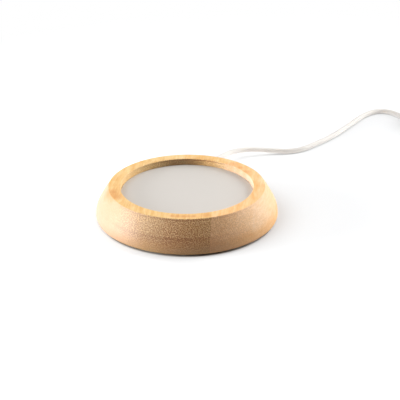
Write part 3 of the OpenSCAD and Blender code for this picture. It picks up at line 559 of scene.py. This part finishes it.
def metal_finish(name, light, dark, roughness, streak, stretch=(1, 12, 1)):
    """A bare or plated metal: streaks of a width in millimetres, stretched along an axis."""
    material, tree, output = new_material(name)
    place = add(tree, "Mapping", {"Vector": add(tree, "TexCoord").outputs["Object"],
                                  "Scale": [1 / MM / s for s in stretch]}).outputs[0]
    lines = add(tree, "TexNoise", {"Vector": place, "Scale": 1 / streak, "Detail": 3.0}).outputs[0]
    patch = add(tree, "TexNoise", {"Vector": place, "Scale": 0.15, "Detail": 2.0}).outputs[0]
    colour = add(tree, "MixRGB", {0: patch, 1: linear(light), 2: linear(dark)}).outputs[0]
    gloss = add(tree, "MapRange", {"Value": lines, "To Min": roughness - 0.1,
                                   "To Max": roughness + 0.1}).outputs[0]
    bump = add(tree, "Bump", {"Height": lines, "Strength": 0.5, "Distance": 0.004 * MM}).outputs[0]
    shader = add(tree, "BsdfPrincipled", {"Base Color": colour, "Roughness": gloss, "Normal": bump,
                                          "Metallic": 1.0})
    tree.links.new(shader.outputs[0], output.inputs["Surface"])
    return material


# Zinc plate with a clear passivation: light blue-grey, with faint straw patches
zinc_plate = metal_finish("zinc_plated_steel", "#C9CCD1", "#BEBAA9", 0.34, 0.5)
finish_nodes(zinc_plate, "plate_studs", "clamp_plate", "clamp_nuts", "saddle_screws", "base_screws")

# Oil-blackened spring steel, nearly black with a blue cast
finish_nodes(metal_finish("spring_steel_blackened", "#4A4B50", "#3A3A3D", 0.42, 0.3),
             "spring_washers")

# Moulded silicone rubber, brick red and slightly waxy
finish_nodes(plain_finish("silicone_rubber_red", "#B8442C", "#A83A26", 0.6, 0.3, 0.01,
                          **{"IOR": 1.41, "Sheen Weight": 0.2}), "plate_gasket")

# Polyimide film: glossy amber, with long flow lines from its casting
finish_nodes(plain_finish("polyimide_film_amber", "#C98A2B", "#B87618", 0.22, 2.5, 0.006, patch=18,
                          **{"IOR": 1.7, "Coat Weight": 0.3}), "heater_film_upper", "heater_film_lower")

# Etched nickel-chrome foil, dull where the acid took its edges
finish_nodes(metal_finish("etched_heater_foil", "#A9A39C", "#948D85", 0.38, 0.25), "heater_track")

# Bimetal sheet, dull brassy, with fine rolling lines along it
finish_nodes(metal_finish("bimetal_rolled", "#B9B08F", "#A79D80", 0.3, 0.12, stretch=(14, 1, 1)),
             "bimetal_blade")

# Fine silver rivets, turned and already a little tarnished
finish_nodes(metal_finish("fine_silver", "#F0EDE4", "#DCD6C8", 0.22, 0.15), "fixed_contact",
             "moving_contact")

# Stamped brass terminals
finish_nodes(metal_finish("brass_stamped", "#D8B25C", "#C79F4C", 0.3, 0.12, stretch=(14, 1, 1)),
             "fixed_terminal", "arm_terminal")

# Deep-drawn nickel-plated steel case, with the drawing marks along it
finish_nodes(metal_finish("drawn_case_steel", "#C8C7C2", "#B9B6AE", 0.28, 0.15, stretch=(14, 1, 1)),
             "thermostat_case")

# Phenolic moulding: dark brown with a mineral filler that shows as specks
finish_nodes(plain_finish("phenolic_brown", "#4A2A1C", "#2E1A12", 0.45, 0.4, 0.01, patch=1.2),
             "thermostat_header")

# Heat-shrink tube, black and faintly crinkled, and PVC insulation, smooth from the extruder
finish_nodes(plain_finish("shrink_tube_black", "#222326", "#1A1A1C", 0.5, 0.8, 0.03),
             "splice_sleeves")
finish_nodes(plain_finish("pvc_insulation_red", "#B3261E", "#A01F19", 0.35, 0.6, 0.008),
             "conductor_red")
finish_nodes(plain_finish("pvc_insulation_black", "#1F1F21", "#18181A", 0.35, 0.6, 0.008),
             "conductor_black")


def fibrous(name, light, dark, fibre, depth):
    """A cloth of fine fibres: their width and their height over the ground are in millimetres."""
    material, tree, output = new_material(name)
    place = add(tree, "Mapping", {"Vector": add(tree, "TexCoord").outputs["Object"],
                                  "Scale": [1 / MM] * 3}).outputs[0]
    knots = add(tree, "TexVoronoi", {"Vector": place, "Scale": 1 / fibre}, distance="MANHATTAN")
    fuzz = add(tree, "TexNoise", {"Vector": place, "Scale": 1.7 / fibre, "Detail": 4.0,
                                  "Distortion": 1.2}).outputs[0]
    height = add(tree, "Math", {0: knots.outputs["Distance"], 1: fuzz}, operation="ADD").outputs[0]
    colour = add(tree, "MixRGB", {0: fuzz, 1: linear(dark), 2: linear(light)}).outputs[0]
    bump = add(tree, "Bump", {"Height": height, "Strength": 0.8, "Distance": depth * MM}).outputs[0]
    shader = add(tree, "BsdfPrincipled", {"Base Color": colour, "Roughness": 0.9, "Normal": bump,
                                          "Sheen Weight": 0.4})
    tree.links.new(shader.outputs[0], output.inputs["Surface"])
    return material


# Needled ceramic-fibre felt, off-white with fibres in every direction
finish_nodes(fibrous("ceramic_fibre_felt", "#EDE9DC", "#D2CBB9", 0.6, 0.15),
             "insulation_pad")

# Braided glass sleeve over the hot leads: a plait of yellowish-white yarns
finish_nodes(fibrous("glass_braid_sleeve", "#DDD3AE", "#B9AC84", 0.35, 0.06),
             "thermostat_leads", "heater_leads")

# ---------------------------------------------------------------- strain relief and cord clamp
# A white moulding on the cord: a flange that stops it inside the ring's wall, and a ribbed tail
# that tapers outwards. Inside, a black saddle screwed to the base cover grips the cord.

relief_low, relief_high = (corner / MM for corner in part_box("strain_relief"))
exit_y = belly(cord_z - ring_z)
seat_y = bay_r + 0.8           # where the flange stops against the wall's inner side
tail_end_y = relief_high.y
tail_tip_r = cord_r + 0.75
bore_r = cord_r + 0.02
flange_t = 2
flange_corner = 0.6
tail_ribs = 5
rib_gap = 1.1
rib_depth = 0.4
rib_round = 0.16


def ribbed(r0, r1, start, length, ribs):
    """Corners of a tapered, ribbed tail: (radius, place along it, rounding)."""
    pitch = length / ribs
    corners = []
    for i in range(ribs):
        low = start + i * pitch + (rib_gap if i else 0)
        high = start + (i + 1) * pitch
        taper = [r0 + (r1 - r0) * (place - start) / length for place in (low, high)]
        corners += [(taper[0], low, rib_round if i else 0), (taper[1], high, rib_round)]
        if i < ribs - 1:
            corners += [(taper[1] - rib_depth, high, rib_round),
                        (taper[1] - rib_depth, high + rib_gap, rib_round)]
    return corners


def joined(name, *pieces):
    """Several pieces as one object, in the places where they stand."""
    whole = bmesh.new()
    for piece in pieces:
        piece.data.transform(piece.matrix_world)
        whole.from_mesh(piece.data)
        bpy.data.objects.remove(piece)
    mesh = bpy.data.meshes.new(name)
    whole.to_mesh(mesh)
    whole.free()
    result = bpy.data.objects.new(name, mesh)
    bpy.context.scene.collection.objects.link(result)
    return result


def prism(name, outline, low, high, edge=0.0, hole=None):
    """An outline pulled up along Z, its rims rounded by edge. A hole has as many points."""
    count = len(outline)
    loops = [outline] + ([hole] if hole else [])
    points = [(*p, z) for loop in loops for z in (low, high) for p in loop]
    faces = []
    for k in range(len(loops)):
        base = 2 * count * k
        faces += [(base + i, base + (i + 1) % count, base + count + (i + 1) % count, base + count + i)
                  for i in range(count)]
    for cap in (0, count):
        if hole:
            faces += [(cap + i, cap + (i + 1) % count, 2 * count + cap + (i + 1) % count,
                       2 * count + cap + i) for i in range(count)]
        else:
            faces.append(tuple(range(cap, cap + count)))
    piece = new_piece(name, points, faces)
    if edge:
        shell = bmesh.new()
        shell.from_mesh(piece.data)
        rims = [e for e in shell.edges if len({round(v.co.z / MM, 3) for v in e.verts}) == 1
                and e.calc_face_angle(0) > radians(50)]
        bmesh.ops.bevel(shell, geom=rims, offset=edge * MM, segments=4, profile=0.5, affect="EDGES",
                        clamp_overlap=True)
        shell.to_mesh(piece.data)
        shell.free()
    return piece


body_l = exit_y - seat_y
tail = turned("tail", rounded([(bore_r, 0, 0), (relief_r, 0, 0), (relief_r, body_l, 0)]
                              + ribbed(relief_r, tail_tip_r, body_l, tail_end_y - exit_y, tail_ribs)[1:]
                              + [(bore_r, tail_end_y - seat_y, 0.1)]), 96)
half_w, half_h = relief_high.x, (relief_high.z - relief_low.z) / 2
flange_outline = rounded([(x, y, flange_corner) for x, y in (
    (-half_w, -half_h), (half_w, -half_h), (half_w, half_h), (-half_w, half_h))])
flange = prism("flange", flange_outline, -flange_t, 0, 0.15)
flange_bore = turned("flange_bore", [(0, -2 * flange_t), (bore_r, -2 * flange_t), (bore_r, 1), (0, 1)],
                     64)
cut_out(flange, flange_bore)
relief_piece = joined("strain_relief_tail", tail, flange)
relief_piece.data.transform(Matrix.Translation((0, seat_y * MM, cord_z * MM))
                            @ Matrix.Rotation(radians(-90), 4, "X"))
smooth(relief_piece)

# Soft thermoplastic elastomer from a spark-eroded mould: white with a satin grain
white_moulding = plain_finish("elastomer_white_moulded", "#DFDBD7", "#D9D4D0", 0.5, 0.25, 0.015,
                              patch=9, **{"Subsurface Weight": 0.3, "Subsurface Scale": 0.6 * MM,
                                          "Subsurface Radius": (1, 1, 1)})
dress(relief_piece, white_moulding, "white_moulding", "strain_relief")

# Black ABS, moulded with a fine eroded grain, for the clamp and for the base
black_abs = plain_finish("abs_black_grained", "#26272A", "#212225", 0.5, 0.35, 0.03, patch=12)
finish_nodes(black_abs, "cord_saddle")

# ---------------------------------------------------------------- base cover and feet
# A moulded disc set into the rebate under the ring, with four countersunk screws. Four rubber feet
# are glued into its seats and lift the ring 1 mm off the table.

finish_nodes(black_abs, "base_cover")
foot_r = 4.5
foot_round = 0.4
foot_top = 1.6                 # its upper part sits in the cover

# Natural-grey rubber, dull, with the dust that it picks up
foot_rubber = plain_finish("foot_rubber_grey", "#3B3B3D", "#313133", 0.75, 0.2, 0.02, patch=3,
                           **{"Sheen Weight": 0.15})
for number in range(1, 5):
    node = f"rubber_foot_{number}"
    low, high = (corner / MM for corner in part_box(node))
    foot = turned(f"{node}_moulded", rounded([(0, 0, 0), (foot_r, 0, foot_round),
                                              (foot_r, foot_top, 0), (0, foot_top, 0)]), 64)
    foot.data.transform(Matrix.Translation(((low.x + high.x) / 2 * MM, (low.y + high.y) / 2 * MM, 0)))
    smooth(foot)
    dress(foot, foot_rubber, "foot_rubber", node)

# ---------------------------------------------------------------- cord
# A round two-core lead with a white elastomer jacket, 1.2 m long. It comes down from the relief,
# lies on the table in a loose bend and ends in a round coil, held by a tie, with the plug beside it.

cord_start_y = exit_y - 5
straight = [(0, y, cord_z) for y in (cord_start_y, exit_y, tail_end_y, tail_end_y + 3)]
route = [                      # x, y and how far the cord is lifted off the table
    (0.6, 76, 4.65), (2.7, 81.5, 4.5), (6.9, 90.5, 4), (13.7, 98.3, 3.2), (21.1, 103.2, 2.2),
    (28.8, 106.7, 1.2), (36.9, 109.3, 0.4), (44.7, 112.7, 0), (51.9, 119.2, 0), (58.6, 130.3, 0),
    (65.4, 143, 0), (71.8, 158.3, 0), (78.3, 177.8, 0), (85.1, 197, 0), (93.5, 208.5, 0),
    (103, 209.5, 0), (112.8, 201.8, 0), (121.5, 194.5, 0.2), (129.5, 188.5, 0.35),
]
tail_route = [                 # the same, from the coil to the plug
    (122.4, 197, 11.2), (125.6, 190.4, 11), (129.8, 182, 9.6), (134.5, 173.3, 7.1),
    (139.4, 164.6, 4.8), (144.3, 156, 3), (148.4, 148.7, 2.35),
]
plug_at = (152, 142.2, 4)
coil_at = (144, 207)
coil_mid_r = 20.7
coil_band = 6.2                # radial way of the cord's middle within one layer
coil_step = 3.6                # from one layer to the next
coil_layers = 4
coil_z = 0.35                  # the tie passes under the coil
coil_from = 232.6              # degrees
coil_to = 205 + 7 * 360
turn_points = 24
layer_change = 60              # degrees that the cord takes to climb onto the next layer


def coil_place(angle):
    """Where the cord's middle is at an angle of the coil: its band swings in and out by layers."""
    done = (angle - coil_from) / (coil_to - coil_from) * coil_layers
    layer = min(floor(done), coil_layers - 1)
    way = done - layer
    r = coil_mid_r + coil_band * ((0.5 - way) if layer % 2 == 0 else (way - 0.5))
    rise = 0
    for change in range(1, coil_layers):
        part = (done - change) * (coil_to - coil_from) / coil_layers / layer_change + 0.5
        part = min(max(part, 0), 1)
        rise += part * part * (3 - 2 * part)
    a = radians(angle)
    return coil_at[0] + r * cos(a), coil_at[1] + r * sin(a), coil_z + cord_r + rise * coil_step


def on_table(points):
    """The cord's middle, from how far the cord is lifted off the table."""
    return [(x, y, lift + cord_r) for x, y, lift in points]


def spline(points):
    """A smooth line through points, with four places for each stretch between two of them."""
    p = [Vector(point) for point in points]
    line = []
    for i in range(len(p) - 1):
        a, b, c, d = p[max(i - 1, 0)], p[i], p[i + 1], p[min(i + 2, len(p) - 1)]
        for t in (0, 0.25, 0.5, 0.75):
            line.append(b + t * (c - a) / 2 + t * t * (a - 2.5 * b + 2 * c - d / 2)
                        + t ** 3 * (3 * b - a - 3 * c + d) / 2)
    return line + [p[-1]]


def lead(name, line, radius, around=6):
    """A round lead along a line of places in millimetres."""
    curve = bpy.data.curves.new(name, "CURVE")
    curve.dimensions = "3D"
    curve.bevel_depth = radius * MM
    curve.bevel_resolution = around
    curve.use_fill_caps = True
    path = curve.splines.new("POLY")
    path.points.add(len(line) - 1)
    for point, place in zip(path.points, line):
        point.co = (*(Vector(place) * MM), 1)
    path.use_smooth = True
    piece = bpy.data.objects.new(name, curve)
    bpy.context.scene.collection.objects.link(piece)
    return piece


coil_count = round((coil_to - coil_from) / 360 * turn_points)
coil = [coil_place(coil_from + (coil_to - coil_from) * i / coil_count) for i in range(1, coil_count)]
cord_line = spline(straight + on_table(route) + coil + on_table(tail_route) + [plug_at])
cord = lead("white_cord", cord_line, cord_r)

# Extruded elastomer jacket: off-white, milky and nearly without gloss, with the faint waviness of
# the cores under it
cord_jacket = plain_finish("elastomer_white_extruded", "#E6E2DD", "#E1DCD7", 0.5, 0.9, 0.02,
                           patch=14, **{"Subsurface Weight": 1.0, "Subsurface Scale": 3 * MM,
                                        "Subsurface Radius": (1, 1, 1), "Specular IOR Level": 0.1})
dress(cord, cord_jacket, "white_cord", "usb_cord", "cord_coil", "cord_tail")
finish_nodes(cord_jacket, "cord_jacket_end")

# ---------------------------------------------------------------- tie around the coil
# A paper-thin plastic strip with a wire in it, bent round the coil and twisted shut on top.

tie_turn = radians(20)         # from +X, seen from the coil's middle
tie_t = 0.3
tie_w = 3
tie_gap = 0.1
tie_bend = 1.4
tie_half = coil_band / 2 + cord_r + tie_gap
coil_top = coil_z + 2 * cord_r + coil_step * (coil_layers - 1) + tie_gap
loops = []
for out in (tie_t, 0):
    left, right = coil_mid_r - tie_half - out, coil_mid_r + tie_half + out
    low, high = tie_t - out, coil_top + out
    loops.append(rounded([(x, z, tie_bend + out) for x, z in (
        (left, low), (right, low), (right, high), (left, high))]))
tie_place = (Matrix.Translation((coil_at[0] * MM, coil_at[1] * MM, 0))
             @ Matrix.Rotation(tie_turn, 4, "Z"))
tie = prism("coil_tie_band", loops[0], -tie_w / 2, tie_w / 2, hole=loops[1])
tie.data.transform(tie_place @ Matrix.Rotation(radians(90), 4, "X"))
smooth(tie)

strand_r = 0.4
twist_turns = 3
twist_steps = 12               # places on each turn
twist_l = 9
twist_r = 0.42                 # of each strand's middle around the twist's
twist_start = coil_mid_r + tie_half - 1
twist_z = coil_top + tie_t + twist_r + strand_r - 0.05   # pressed onto the band
strands = []
for strand in range(2):
    line = []
    for i in range(twist_turns * twist_steps + 1):
        a = 2 * pi * i / twist_steps + strand * pi
        along = twist_start - twist_l * i / (twist_turns * twist_steps)
        bent = Vector((along, twist_r * cos(a), twist_z + twist_r * sin(a)))
        line.append(tie_place @ (bent * MM) / MM)
    strands.append(lead(f"tie_twist_{strand + 1}", line, strand_r, 3))

# Polyethylene-coated wire, white and slightly glossy, creased where it was bent
tie_film = plain_finish("tie_strip_white", "#F2F2F2", "#E6E6E6", 0.35, 0.7, 0.04, patch=2)
dress(tie, tie_film, "tie_film", "cord_tie")
for strand in strands:
    dress(strand, tie_film, "tie_film")

# ---------------------------------------------------------------- USB plug
# A nickel-plated shell with four sprung windows around a white tongue with gold-flashed contacts,
# held in a white moulded grip. A ribbed neck leads the cord in.

plug_turn = radians(-61)
neck_l = 9
neck_r = 3.1
neck_tip_r = cord_r + 0.6
neck_ribs = 4
plug_l = 20
plug_w = 16
plug_h = 8
plug_corner = 2.5
plug_edge = 0.8
grips = 4
grip_at = 4                    # middle of the first groove from the body's cord end
grip_pitch = 2.4
grip_w = 1.1
grip_depth = 0.35
grip_round = 0.12
plug_place = Matrix.Translation(Vector(plug_at) * MM) @ Matrix.Rotation(plug_turn, 4, "Z")

neck = turned("plug_neck_ribbed", rounded(
    [(bore_r, 0, 0.1), (neck_tip_r, 0, rib_round)]
    + ribbed(neck_tip_r, neck_r, 0, neck_l, neck_ribs)[1:-1]
    + [(neck_r, neck_l, 0), (bore_r, neck_l, 0)]), 96)
neck.data.transform(plug_place @ Matrix.Rotation(radians(90), 4, "Y"))
smooth(neck)
dress(neck, white_moulding, "white_moulding", "plug_neck")

grip_side = []
for i in range(grips):
    left = grip_at + grip_pitch * i - grip_w / 2
    grip_side += [(x, y, grip_round) for x, y in (
        (left, 0), (left, grip_depth), (left + grip_w, grip_depth), (left + grip_w, 0))]
outline = [(0, -plug_w / 2, plug_corner)]
outline += [(x, -plug_w / 2 + y, r) for x, y, r in grip_side]
outline += [(plug_l, -plug_w / 2, plug_corner), (plug_l, plug_w / 2, plug_corner)]
outline += [(x, plug_w / 2 - y, r) for x, y, r in reversed(grip_side)]
outline += [(0, plug_w / 2, plug_corner)]
plug_body = prism("plug_grip", rounded(outline), -plug_h / 2, plug_h / 2, plug_edge)
plug_body.data.transform(plug_place @ Matrix.Translation((neck_l * MM, 0, 0)))
smooth(plug_body)
dress(plug_body, white_moulding, "white_moulding", "plug_body")

# Bright nickel over deep-drawn steel, with fine scratches from plugging in
nickel = metal_finish("nickel_plated_shell", "#CFCCC6", "#BDB9B1", 0.2, 0.1, stretch=(3, 12, 3))
finish_nodes(nickel, "plug_shell")

# White glass-filled nylon tongue
finish_nodes(plain_finish("nylon_white_tongue", "#E9E9E6", "#DEDEDA", 0.45, 0.3, 0.01),
             "plug_tongue")

# Gold flash over nickel, with rub marks where the socket's springs slide
finish_nodes(metal_finish("gold_flash", "#EBC872", "#D9B25C", 0.22, 0.1), "plug_contacts")

# A flag keeps the low softbox off the cord, which would burn out against the table
flagged = bpy.data.collections.new("flagged_from_left_softbox")
for piece in (cord, relief_piece, neck, plug_body, tie, *strands):
    flagged.objects.link(piece)
for flag in flagged.collection_objects:
    flag.light_linking.link_state = "EXCLUDE"
bpy.data.objects["left_softbox"].light_linking.receiver_collection = flagged
